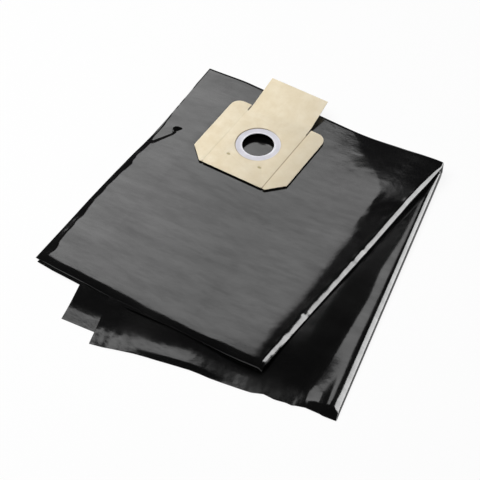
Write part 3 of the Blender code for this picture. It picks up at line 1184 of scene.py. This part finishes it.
    def crest_blend(self, x: float, y: float) -> float:
        """1 beside the soft roll, where the film lies level, and 0 past the slope to it.

        Args:
            x: How far the place is to the right of the inlet.
            y: How far the place is behind the inlet.

        Returns:
            The share.
        """
        s = self.right_x(y) - x
        level = along_table(self.level_table, y)
        return 1.0 - smooth((s - level) / along_table(self.rise_table, y))

    def corner_swell(self, x: float, y: float) -> float:
        """A low swell by the back right corner, from which the film falls to the fold.

        Args:
            x: How far the place is to the right of the inlet.
            y: How far the place is behind the inlet.

        Returns:
            How far the film is lifted.
        """
        bend = along_table(self.corner_table, x)
        bend += sum(wave.at(x, y) for wave in self.corner_waves)
        back = self.sizes.fold_right_y
        if y > bend:
            return self.corner_fall * max(back - y, 0.0)
        ahead = smooth(1.0 - (bend - y) / self.corner_run)
        return self.corner_fall * max(back - bend, 0.0) * ahead

    def level(self, x: float, y: float) -> float:
        """Its upper face, without the ripples.

        Args:
            x: How far the place is to the right of the inlet.
            y: How far the place is behind the inlet.

        Returns:
            The height.
        """
        z = self.sizes
        s, v = self.lower.find(x, y)
        beside = smooth((s - self.lower.tips(v)[0]) / z.edge_swell)
        leaf = 2 * z.subleaf_middle + z.ply_gap
        level = z.leaf_gap + leaf * (1.0 - beside) + leaf + z.top_belly
        level = mix(level, z.seat_height, self.seat_blend(x, y))
        crest = along_table(self.crest_table, y)
        level = mix(level, crest, self.crest_blend(x, y)) + self.corner_swell(x, y)
        beyond = along_table(self.level_table, y) - self.crest_fall_inset
        beyond -= self.right_x(y) - x
        level -= self.crest_fall * max(beyond, 0.0) * rise(y, self.crest_fall_over)
        back = rise(y, self.left_fall_over)
        edge = self.rest_height(x, y) + 2 * z.weld_thickness + z.ply_gap
        edge += self.left_rim * back * rise(x, self.left_rim_over)
        level -= self.left_fall * back * max(self.left_fall_from - x, 0.0)
        level -= self.vent_crease(x, y)
        return mix(edge, max(level, edge), self.edge_round(x, y))

    def layers(self, x: float, y: float) -> Triple:
        """Thickness of its two halves, and the gap between them.

        Args:
            x: How far the place is to the right of the inlet.
            y: How far the place is behind the inlet.

        Returns:
            The upper half, the lower half and the gap.
        """
        z = self.sizes
        total = self.level(x, y) - self.rest_height(x, y)
        half = mix(z.weld_thickness, z.subleaf_middle, self.edge_round(x, y))
        spread = max(total - 2 * half - z.ply_gap, 0.0)
        gap = z.ply_gap + spread * self.crest_blend(x, y)
        return total - half - gap, half, gap

    def ripple(self, x: float, y: float) -> float:
        """Soft ripples of its upper face, finer ones by the roll, and the roll's kinks.

        Args:
            x: How far the place is to the right of the inlet.
            y: How far the place is behind the inlet.

        Returns:
            How far the film is lifted.
        """
        s = self.right_x(y) - x
        long = sum(wave.at(x, y) for wave in self.long_waves)
        by_roll = rise(s, self.fine_inner) * rise(s, self.fine_outer)
        by_roll *= mix(self.fine_least, 1.0, rise(y, self.fine_back))
        crest = self.crest_wave.at(x, y)
        for place, depth in self.kink_table:
            crest -= depth * max(1.0 - abs(y - place) / self.kink_half, 0.0)
        crest *= rise(s, self.crest_wave_over)
        corner = rise(x, self.calm_aside) * rise(y, self.calm_behind)
        calm = mix(self.calm_seat, 1.0, 1.0 - self.seat_blend(x, y))
        calm *= mix(1.0, self.calm_corner, corner) * self.edge_round(x, y)
        return (long + self.fine_wave.at(x, y) * by_roll) * calm + crest

    def section(self, y: float) -> Section:
        """Its section at a distance behind the inlet.

        Args:
            y: How far the place is behind the inlet.

        Returns:
            The section.
        """
        z = self.sizes
        right = self.right_x(y)
        share = clip((y + z.top_front) / (z.fold_right_y + z.top_front))
        wide = right + z.top_left
        narrow = wide - mix(z.top_tip_step, z.fold_tip_step, share)

        def place(s: float, h: float, over: bool) -> Vector:
            """Puts a point of the section in the part's plan.

            Args:
                s: How far the place is from the soft roll.
                h: The point's height in the section.
                over: Whether the point is on the upper half.

            Returns:
                The point, from the inlet.
            """
            x = right - s
            askew = (self.fold_line_y(x) - z.fold_right_y) * rise(y, self.askew_over)
            bow = along_table(self.left_bow_table, y) * rise(x, self.left_bow_over)
            out = along_table(self.front_bow_table, x)
            if not over:
                out += self.front_slip * rise(x, self.front_slip_over)
            out *= rise(y, self.front_bow_over)
            return Vector((x + bow, y + askew - out, self.rest_height(x, y) + h))

        roll = Roll(
            along_table(self.arch_table, y), self.undercut,
            along_table(self.side_table, y), self.roll_power,
        )
        return Section(
            lambda s: self.layers(right - s, y), place, (wide, narrow), roll, self.columns
        )


@dataclass
class FoldedFilm:
    """The welded film tube in its folds, as one closed skin with its inlet and vent."""

    sizes: FilmSizes = field(default_factory=FilmSizes)
    tube_width: float = 0.90
    tube_length: float = 1.10
    curl_stations: int = 9
    top_stations: int = 180
    fold_steps: int = 12
    fold_length: float = 0.014
    fold_step_length: float = 0.004
    hidden_stations: int = 40
    shown_stations: int = 60
    shown_from: float = 0.385
    weld_stations: int = 4
    boxy_squash: float = 0.82
    boxy_power: float = 0.32
    boxy_reach: float = 0.080
    corner_pull: float = 0.0025
    pocket_sides: int = 96
    pocket_rings: int = 14
    pocket_flat: float = 0.050
    pocket_lift: float = 0.0005
    pocket_rise: Table = ((0.066, 0.0012), (0.072, 0.0030))
    pocket_roof: Table = ((0.060, -0.0012), (0.040, -0.0006), (0.036, -0.0004), (0.036, 0.004))
    pocket_wave: Wave = Wave(0.0016, 0.034, 0.026, 4.4)
    pocket_fade: float = 1.4
    vent_sides: int = 48
    vent_tip_angle: float = math.radians(32.0)
    vent_round: float = 0.90
    vent_tip: float = 0.5
    vent_tip_power: int = 8
    vent_squash: float = 0.86
    vent_heights: Triple = (0.0037, -0.0003, -0.0036)
    smooth_angle: float = math.radians(50)

    def __post_init__(self) -> None:
        """Lays out the two leaves."""
        self.lower = LowerLeaf(self.sizes)
        self.top = TopLeaf(self.sizes, self.lower)

    def fold_section(self, turn: float) -> Section:
        """A section of the crosswise fold, turned from 0 on the top leaf to pi on the lower.

        Args:
            turn: How far round the fold it stands.

        Returns:
            The section.
        """
        z, top, lower = self.sizes, self.top, self.lower
        right = z.top_back_width - z.top_left
        share = smooth(turn / math.pi)

        def layers(s: float) -> Triple:
            """Thickness of the two halves, and the gap between them.

            Args:
                s: How far the place is from the soft roll.

            Returns:
                The upper half, the lower half and the gap.
            """
            pairs = zip(top.layers(right - s, z.fold_right_y), lower.layers(s, 0.0))
            return tuple(mix(a, b, share) for a, b in pairs)

        def place(s: float, h: float, over: bool) -> Vector:
            """Puts a point of the section in the part's plan.

            Args:
                s: How far the place is from the soft roll.
                h: The point's height in the section.
                over: Whether the point is on the upper half.

            Returns:
                The point, from the inlet.
            """
            boxy = 1.0 - smooth(s / self.boxy_reach)
            power = mix(1.0, self.boxy_power, boxy)
            out = math.sin(turn) ** power
            up = math.copysign(abs(math.cos(turn)) ** power, math.cos(turn))
            reach = z.leaf_gap / 2 + h
            middle = sum(lower.layers(s, 0.0)) + z.leaf_gap / 2
            x = right - s
            y = top.fold_line_y(x) + reach * mix(top.fold_squash, self.boxy_squash, boxy) * out
            return Vector((x - self.corner_pull * boxy * out, y, middle + reach * up))

        ends = (
            (top.arch_table[-1][1], lower.tuck_table[0][1]),
            (top.undercut, lower.arch_table[0][1]),
            (top.side_table[-1][1], lower.side_table[0][1]),
            (top.roll_power, lower.roll_power),
        )
        roll = Roll(*(mix(a, b, share) for a, b in ends))
        tips = (z.top_back_width, z.top_back_width - z.fold_tip_step)
        return Section(layers, place, tips, roll, top.columns)

    def sections(self) -> list[tuple[float, Leaf, Section]]:
        """Every section along the tube, with how far along it lies and its leaf.

        Returns:
            The sections, from the front of the top leaf.
        """
        z = self.sizes
        front = -z.top_front
        curl = even(0.0, math.pi / 2, self.curl_stations)
        ys = [front + z.front_curl * (1.0 - math.cos(turn)) for turn in curl]
        ys += even(ys[-1], z.fold_right_y, self.top_stations)[1:]
        found = [(y - front, Leaf.TOP, self.top.section(y)) for y in ys]
        start = z.fold_right_y - front
        for turn in even(0.0, math.pi, self.fold_steps)[1:-1]:
            along = start + self.fold_step_length * turn
            found.append((along, Leaf.BEND, self.fold_section(turn)))
        start += self.fold_length
        weld = z.lower_length - z.weld_depth
        vs = even(0.0, self.shown_from, self.hidden_stations)
        vs += even(self.shown_from, weld, self.shown_stations)[1:]
        vs += even(weld, z.lower_length, self.weld_stations)[1:]
        found += [(start + v, Leaf.LOWER, self.lower.section(v)) for v in vs]
        return found

    def skin(self) -> bpy.types.Object:
        """The closed skin of the folded tube, with where its points lie on the flat tube.

        Returns:
            The skin.
        """
        bm = bmesh.new()
        uv = bm.loops.layers.uv.new("film")
        rings, where = [], {}
        for along, leaf, section in self.sections():
            skins = [section.skin(fine) for fine in (True, False)]
            tips = []
            for tip, over, k in zip(section.tips, (True, False), (0, -1)):
                middle = sum(skin[k][k][1] for skin in skins) / 2
                tips.append(bm.verts.new(section.place(tip, middle, over)))
                where[tips[-1]] = (tip if over else -tip, along)
            lines = []
            for fine, parts in zip((True, False), skins):
                line = []
                for points in parts:
                    line.append([])
                    for s, h, over in points:
                        spot = section.place(s, h, over)
                        if leaf is Leaf.TOP and over and fine:
                            spot.z += self.top.ripple(spot.x, spot.y)
                        line[-1].append(bm.verts.new(spot))
                        where[line[-1][-1]] = (s if over else -s, along)
                outer, bend, inner = line
                lines.append([[tips[0], *outer, bend[0]], bend, [bend[-1], *inner, tips[1]]])
            rings.append(lines)
        for here, beyond in zip(rings, rings[1:]):
            for line, next_line in zip(here, beyond):
                for part, next_part in zip(line, next_line):
                    self.zip_lines(bm, part, next_part)
        for lines in (rings[0], rings[-1]):
            for part, other in zip(*lines):
                self.zip_lines(bm, part, other)
        bmesh.ops.recalc_face_normals(bm, faces=bm.faces)
        for face in bm.faces:
            for loop in face.loops:
                loop[uv].uv = where[loop.vert]
        return as_object("film_bag_skin", bm)

    @staticmethod
    def zip_lines(
        bm: bmesh.types.BMesh, a: list[bmesh.types.BMVert], b: list[bmesh.types.BMVert]
    ) -> None:
        """Joins two lines of points with faces; the lines may share their ends.

        Args:
            bm: The mesh under way.
            a: One line of points.
            b: The other line.
        """
        if len(a) == len(b) and a[0] is not b[0] and a[-1] is not b[-1]:
            for k in range(len(a) - 1):
                bm.faces.new((a[k], a[k + 1], b[k + 1], b[k]))
            return
        i = j = 0
        while i < len(a) - 1 or j < len(b) - 1:
            step_a = (i + 1) / (len(a) - 1) if i < len(a) - 1 else 2.0
            step_b = (j + 1) / (len(b) - 1) if j < len(b) - 1 else 2.0
            if step_a <= step_b:
                corners = (a[i], a[i + 1], b[j])
                i += 1
            else:
                corners = (a[i], b[j + 1], b[j])
                j += 1
            if len(set(corners)) == 3:
                bm.faces.new(corners)

    def pocket(self) -> bpy.types.Object:
        """A cutter for the inlet: the round cut, and the slack space under the top film.

        Returns:
            The cutter.
        """
        seat = self.sizes.seat_height
        floor = seat - self.top.layers(0.0, 0.0)[0] + self.pocket_lift
        levels = [(r, floor) for r in even(0.0, self.pocket_flat, self.pocket_rings)[1:]]
        levels += [(r, floor + up) for r, up in self.pocket_rise]
        levels += [(r, seat + up) for r, up in self.pocket_roof]
        rings = []
        for radius, level in levels:
            ring = []
            for turn in even(0.0, 2 * math.pi, self.pocket_sides)[:-1]:
                x, y = radius * math.cos(turn), radius * math.sin(turn)
                lift = 0.0
                if level == floor:
                    lift = self.pocket_wave.at(x, y) * smooth(self.pocket_fade - radius / self.pocket_flat)
                ring.append((x, y, level + lift))
            rings.append(ring)
        return ring_solid("inlet_pocket", rings)

    def vent_cutter(self) -> bpy.types.Object:
        """A cutter for the small punched vent, drawn out to a point at its right.

        Returns:
            The cutter.
        """
        z = self.sizes
        x, y = z.vent
        top, edge, deep = (self.top.level(x, y) + up for up in self.vent_heights)
        outline = []
        for turn in even(0.0, 2 * math.pi, self.vent_sides)[:-1]:
            tip = max(math.cos(turn - self.vent_tip_angle), 0.0) ** self.vent_tip_power
            reach = z.vent_size / 2 * (self.vent_round + self.vent_tip * tip)
            outline.append(
                (x + reach * math.cos(turn), y + self.vent_squash * reach * math.sin(turn))
            )
        rings = [[(*spot, level) for spot in outline] for level in (top, edge)]
        # Its faces take slot 1, the painted shade of the vent's inside.
        return ring_solid("vent_cut", [*rings, [(x, y, deep)]], slot=1)

    def build(self, finish: FilmFinish) -> bpy.types.Object:
        """Args:
            finish: The film's finish.

        Returns:
            The finished piece.
        """
        bag = self.skin()
        # The second material is the painted shade of the vent's inside.
        for material in (finish.build(), finish.inside()):
            bag.data.materials.append(material)
        for cutter in (self.pocket(), self.vent_cutter()):
            boolean = bag.modifiers.new("cut", "BOOLEAN")
            boolean.operation = "DIFFERENCE"
            boolean.solver = "EXACT"
            boolean.object = cutter
            apply_modifiers(bag)
            bpy.data.objects.remove(cutter)
        bag.data.transform(Matrix.Translation(HUB))
        select_only(bag)
        bpy.ops.object.shade_smooth_by_angle(angle=self.smooth_angle)
        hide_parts("film_bag")
        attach(bag, "root")
        return bag


@dataclass
class Collar:
    """The two cards and the elastic seal ring round the inlet."""

    edge_round: float = 0.00018
    edge_segments: int = 2
    edge_angle: float = math.radians(40)
    flat_angle: float = math.radians(1.0)
    smooth_angle: float = math.radians(30)
    merge: float = 0.00001

    def card(self, finish: bpy.types.Material) -> bpy.types.Object:
        """The collar card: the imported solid's shape with its cut edges softened.

        Args:
            finish: The card's finish.

        Returns:
            The finished piece.
        """
        source = bpy.data.objects["collar_card"]
        card = bpy.data.objects.new("collar_card_sheet", source.data.copy())
        bpy.context.scene.collection.objects.link(card)
        select_only(card)
        bpy.ops.object.mode_set(mode="EDIT")
        bpy.ops.mesh.select_all(action="SELECT")
        bpy.ops.mesh.remove_doubles(threshold=self.merge)
        bpy.ops.mesh.dissolve_limited(angle_limit=self.flat_angle)
        bpy.ops.object.mode_set(mode="OBJECT")
        bevel = card.modifiers.new("soft_edges", "BEVEL")
        bevel.width = self.edge_round
        bevel.segments = self.edge_segments
        bevel.limit_method = "ANGLE"
        bevel.angle_limit = self.edge_angle
        apply_modifiers(card)
        bpy.ops.object.shade_smooth_by_angle(angle=self.smooth_angle)
        card.data.materials.clear()
        card.data.materials.append(finish)
        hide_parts("collar_card")
        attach(card, "root")
        return card

    def dress(self, node: str, finish: bpy.types.Material) -> bpy.types.Object:
        """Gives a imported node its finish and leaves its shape.

        Args:
            node: The node's name.
            finish: Its finish.

        Returns:
            The node.
        """
        target = bpy.data.objects[node]
        for place in target.material_slots:
            place.material = finish
        return target

    def build(self, card: bpy.types.Material, seal: bpy.types.Material) -> list[bpy.types.Object]:
        """Dresses the three pieces in the finishes of the card and of the seal."""
        return [self.card(card), self.dress("base_card", card), self.dress("seal_ring", seal)]


@dataclass(frozen=True)
class Lamp:
    """A soft rectangular lamp that faces the object.

    It stands at an azimuth and elevation, in degrees, and a distance from the object. Its
    radiance is how bright its face is, shift how far it is moved to the right and up in its
    own plane, as seen from the object, and roll how far it is turned in that plane.
    """

    name: str
    azimuth: float
    elevation: float
    distance: float
    size: Pair
    radiance: float
    shift: Pair = (0.0, 0.0)
    roll: float = 0.0


@dataclass
class Studio:
    """Camera, lamps and floor."""

    azimuth: float = 32.151
    elevation: float = 48.0
    distance: float = 3.2728
    lens: float = 150.0
    sensor: float = 36.0
    target: Triple = (-0.02087, -0.02119, 0.0207)
    box_distance: float = 2.5
    box_radiance: float = 2.8
    box_roll: float = 40.2
    box_sides: tuple[Pair, Pair] = ((-0.97, 0.235), (-0.49, 0.463))
    box_cloud: tuple[float, float] = (5.0, 3.0)
    box_glow: Remap = (0.35, 0.65, 0.95, 1.05)
    panel: Lamp = Lamp("side_panel", 135.0, 22.0, 1.7, (1.7, 1.6), 12.0)
    fill: Lamp = Lamp("top_fill", -60.0, 70.0, 2.4, (1.8, 1.8), 6.0)
    world_strength: float = 0.05
    floor_size: float = 30.0
    floor_drop: float = 0.0002
    floor_pale: Triple = (0.86, 0.86, 0.86)
    floor_rough: float = 0.9
    floor_glow: float = 0.9

    def direction(self, azimuth: float, elevation: float) -> Vector:
        """The way from the object towards a place around it."""
        a, e = math.radians(azimuth), math.radians(elevation)
        return Vector((math.sin(a) * math.cos(e), -math.cos(a) * math.cos(e), math.sin(e)))

    def camera(self) -> None:
        """Stands the camera where the photograph was taken from."""
        data = bpy.data.cameras.new("camera")
        data.lens = self.lens
        data.sensor_width = self.sensor
        data.sensor_fit = "AUTO"
        data.clip_end = 100.0
        camera = bpy.data.objects.new("camera", data)
        way = self.direction(self.azimuth, self.elevation)
        camera.location = Vector(self.target) + way * self.distance
        camera.rotation_euler = (-way).to_track_quat("-Z", "Y").to_euler()
        bpy.context.scene.collection.objects.link(camera)
        bpy.context.scene.camera = camera

    def lamp(self, spec: Lamp) -> bpy.types.Object:
        """Hangs a lamp, which the camera doesn't see.

        Args:
            spec: What lamp it is and where.

        Returns:
            The lamp.
        """
        data = bpy.data.lights.new(spec.name, "AREA")
        data.shape = "RECTANGLE"
        data.size, data.size_y = spec.size
        data.energy = math.pi * data.size * data.size_y * spec.radiance
        lamp = bpy.data.objects.new(spec.name, data)
        way = self.direction(spec.azimuth, spec.elevation)
        right = way.cross(Vector((0.0, 0.0, 1.0))).normalized()
        up = right.cross(way)
        turn = math.radians(spec.roll)
        side = right * math.cos(turn) + up * math.sin(turn)
        middle = Vector(self.target) + way * spec.distance
        lamp.location = middle + right * spec.shift[0] + up * spec.shift[1]
        lamp.rotation_euler = Matrix((side, way.cross(side), way)).transposed().to_euler()
        lamp.visible_camera = False
        bpy.context.scene.collection.objects.link(lamp)
        return lamp

    def cloudy(self, lamp: bpy.types.Object) -> None:
        """Gives a lamp's cloth an uneven glow, as a real softbox has.

        Args:
            lamp: The lamp.
        """
        lamp.data.use_nodes = True
        tree = lamp.data.node_tree
        place = tree.nodes.new("ShaderNodeNewGeometry")
        cloud = tree.nodes.new("ShaderNodeTexNoise")
        for name, value in zip(("Scale", "Detail"), self.box_cloud):
            cloud.inputs[name].default_value = value
        level = tree.nodes.new("ShaderNodeMapRange")
        for name, value in zip(("From Min", "From Max", "To Min", "To Max"), self.box_glow):
            level.inputs[name].default_value = value
        tree.links.new(place.outputs["Parametric"], cloud.inputs["Vector"])
        tree.links.new(cloud.outputs["Fac"], level.inputs["Value"])
        tree.links.new(level.outputs["Result"], tree.nodes["Emission"].inputs["Strength"])

    def lamps(self) -> None:
        """The back softbox that the film mirrors, a side panel and a soft fill."""
        turn = math.radians(self.box_roll)
        (left, right), (top, bottom) = self.box_sides
        u, w = (left + right) / 2, (top + bottom) / 2
        shift = (
            u * math.cos(turn) + w * math.sin(turn), u * math.sin(turn) - w * math.cos(turn)
        )
        box = Lamp(
            "back_softbox", self.azimuth + 180.0, self.elevation, self.box_distance,
            (right - left, bottom - top), self.box_radiance, shift, self.box_roll,
        )
        self.cloudy(self.lamp(box))
        self.lamp(self.panel).visible_diffuse = False
        self.lamp(self.fill).visible_glossy = False

    def world(self) -> None:
        """A dim even surrounding."""
        world = bpy.data.worlds.new("surroundings")
        world.use_nodes = True
        ground = world.node_tree.nodes["Background"]
        ground.inputs["Color"].default_value = (1.0, 1.0, 1.0, 1.0)
        ground.inputs["Strength"].default_value = self.world_strength
        bpy.context.scene.world = world

    def floor(self) -> None:
        """A wide pale floor that shows white and keeps a faint shadow of the bag."""
        deselect()
        bpy.ops.mesh.primitive_plane_add(
            size=self.floor_size, location=(0.0, 0.0, -self.floor_drop)
        )
        floor = bpy.context.object
        floor.name = "floor"
        shader = Shader("pale_floor")
        shader.put(Base_Color=self.floor_pale, Roughness=self.floor_rough)
        rays = shader.node("LightPath")
        seen = rays.outputs["Is Camera Ray"]
        for ray in ("Is Glossy Ray", "Is Transmission Ray"):
            seen = shader.math("MAXIMUM", seen, rays.outputs[ray])
        glow = shader.node("Emission", Strength=1.0)
        mixer = shader.node("MixShader")
        shader.feed(shader.times(seen, self.floor_glow), mixer.inputs[0])
        shader.feed(shader.principled.outputs[0], mixer.inputs[1])
        shader.feed(glow.outputs[0], mixer.inputs[2])
        shader.feed(mixer.outputs[0], shader.tree.nodes["Material Output"].inputs["Surface"])
        floor.data.materials.append(shader.material)

    def build(self) -> None:
        """Sets up the whole studio."""
        self.camera()
        self.lamps()
        self.world()
        self.floor()
        bpy.context.scene.view_settings.view_transform = "Standard"


def main() -> None:
    """Builds the studio and the pieces, and reports them."""
    logging.basicConfig(level=logging.INFO, format="%(message)s")
    Studio().build()
    pieces = [FoldedFilm().build(FilmFinish())]
    pieces += Collar().build(CardFinish().build(), SealFinish().build())
    for piece in pieces:
        count = sum(len(face.vertices) - 2 for face in piece.data.polygons)
        LOG.info("%s has %d triangles", piece.name, count)


if __name__ == "__main__":
    main()
